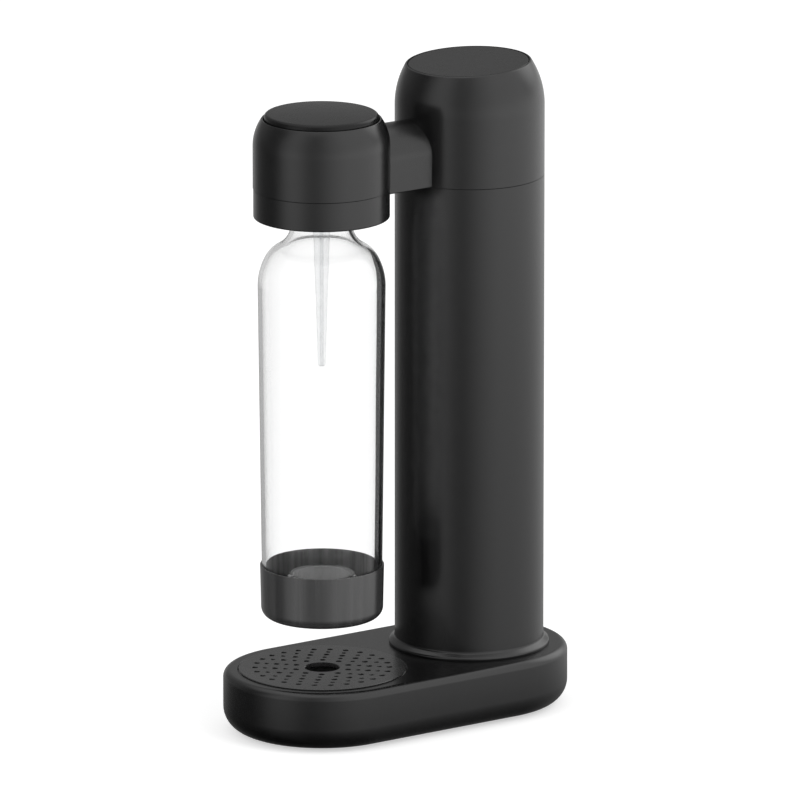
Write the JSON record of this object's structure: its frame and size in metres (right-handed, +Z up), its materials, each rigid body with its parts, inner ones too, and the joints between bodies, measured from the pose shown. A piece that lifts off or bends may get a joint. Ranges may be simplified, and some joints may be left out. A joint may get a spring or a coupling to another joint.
{
  "type": "soda carbonator",
  "caption": "Slim countertop soda carbonator: gas column on a long round-ended base, push-button head with a clear screw-in bottle, and a lift-out perforated drip tray.",
  "frame": {"origin": "on the table, under the middle of the base", "axes": "+Z up, -Y towards the bottle at the front, +Y towards the gas column, +X across the base"},
  "size_m": [0.127, 0.2426, 0.4254],
  "materials": {
    "black_body": "fine-grained matte black",
    "black_cap": "smooth matte black",
    "tray_black": "matte black",
    "cup_satin": "satin anthracite",
    "clear_bottle": "clear, polished",
    "nozzle_grey": "milky, slightly see-through",
    "inner_plastic": "plain moulded",
    "steel": "plain steel",
    "brass": "machined",
    "cylinder_alloy": "satin",
    "rubber": "soft black"
  },
  "bodies": {
    "stand": {"base_shell": "black_body", "column_foot_ring": "black_body", "column_tube": "black_body", "head_housing": "black_body", "bridge_arm": "black_body", "bottle_head_shell": "black_body", "bottle_collar": "black_body", "column_cap": "black_cap", "nozzle": "nozzle_grey", "base_bottom_plate": "inner_plastic", "lower_cylinder_guide": "inner_plastic", "upper_cylinder_guide": "inner_plastic", "column_spigot": "inner_plastic", "column_top_ring": "inner_plastic", "button_guide": "inner_plastic", "nozzle_holder": "inner_plastic", "bottle_socket": "inner_plastic", "head_chassis": "steel", "lever_pivot_pin": "steel", "pivot_clips": "steel", "base_screws": "steel", "spigot_screws": "steel", "chassis_screws": "steel", "block_screws": "steel", "socket_screws": "steel", "collar_screws": "steel", "valve_pin_spring": "steel", "button_spring": "steel", "seal_spring": "steel", "relief_spring": "steel", "valve_block": "brass", "cylinder_valve": "brass", "pipe_nuts": "brass", "gas_pipe": "brass", "relief_valve_body": "brass", "relief_cap": "brass", "gas_cylinder": "cylinder_alloy", "front_foot_strip": "rubber", "rear_foot_strip": "rubber", "cylinder_washer": "rubber", "nozzle_o_ring": "rubber"},
    "button": {"button_cap": "black_cap"},
    "lever": {"push_lever": "steel"},
    "pin": {"valve_pin": "steel"},
    "seal": {"seal_carrier": "inner_plastic", "bottle_seal": "rubber"},
    "bottle": {"bottle": "clear_bottle", "bottle_neck_ring": "clear_bottle", "bottle_base_cup": "cup_satin"},
    "tray": {"drip_tray_cup": "tray_black", "drip_tray_grille": "tray_black"},
    "hatch": {"cylinder_hatch": "inner_plastic", "hatch_pad": "rubber"},
    "relief": {"relief_poppet": "steel"}
  },
  "joints": [
    {"name": "button_press", "type": "slide", "parent": "stand", "child": "button", "axis": [0, 0, -1], "range_m": [0, 0.006], "stiffness_N_per_m": 400, "springref_m": -0.006, "deforming": ["button_spring"]},
    {"name": "lever_swing", "type": "hinge", "parent": "stand", "child": "lever", "pos_m": [0, 0.08275, 0.3782], "axis": [1, 0, 0], "range_deg": [0, 2.5]},
    {"name": "pin_press", "type": "slide", "parent": "stand", "child": "pin", "axis": [0, 0, -1], "range_m": [0, 0.0011], "stiffness_N_per_m": 600, "springref_m": -0.002, "deforming": ["valve_pin_spring"]},
    {"name": "seal_slide", "type": "slide", "parent": "stand", "child": "seal", "axis": [0, 0, -1], "range_m": [0, 0.00905], "stiffness_N_per_m": 150, "springref_m": 0.012, "deforming": ["seal_spring"]},
    {"name": "bottle_turn", "type": "hinge", "parent": "seal", "child": "bottle", "pos_m": [0, -0.05775, 0.2], "axis": [0, 0, -1], "range_deg": [0, 360]},
    {"name": "tray_lift", "type": "slide", "parent": "stand", "child": "tray", "axis": [0, 0, 1], "range_m": [0, 0.016]},
    {"name": "hatch_turn", "type": "hinge", "parent": "stand", "child": "hatch", "pos_m": [0, 0.05775, 0.003], "axis": [0, 0, 1], "range_deg": [0, 40]},
    {"name": "relief_open", "type": "slide", "parent": "stand", "child": "relief", "axis": [0, -1, 0], "range_m": [0, 0.001], "stiffness_N_per_m": 800, "springref_m": -0.002, "deforming": ["relief_spring"]}
  ],
  "couplings": [
    {"joint": "lever_swing", "follows": "button_press", "rad_per_m": 7.1174},
    {"joint": "pin_press", "follows": "button_press", "ratio": 0.17794},
    {"joint": "seal_slide", "follows": "bottle_turn", "m_per_rad": 0.0014324}
  ]
}
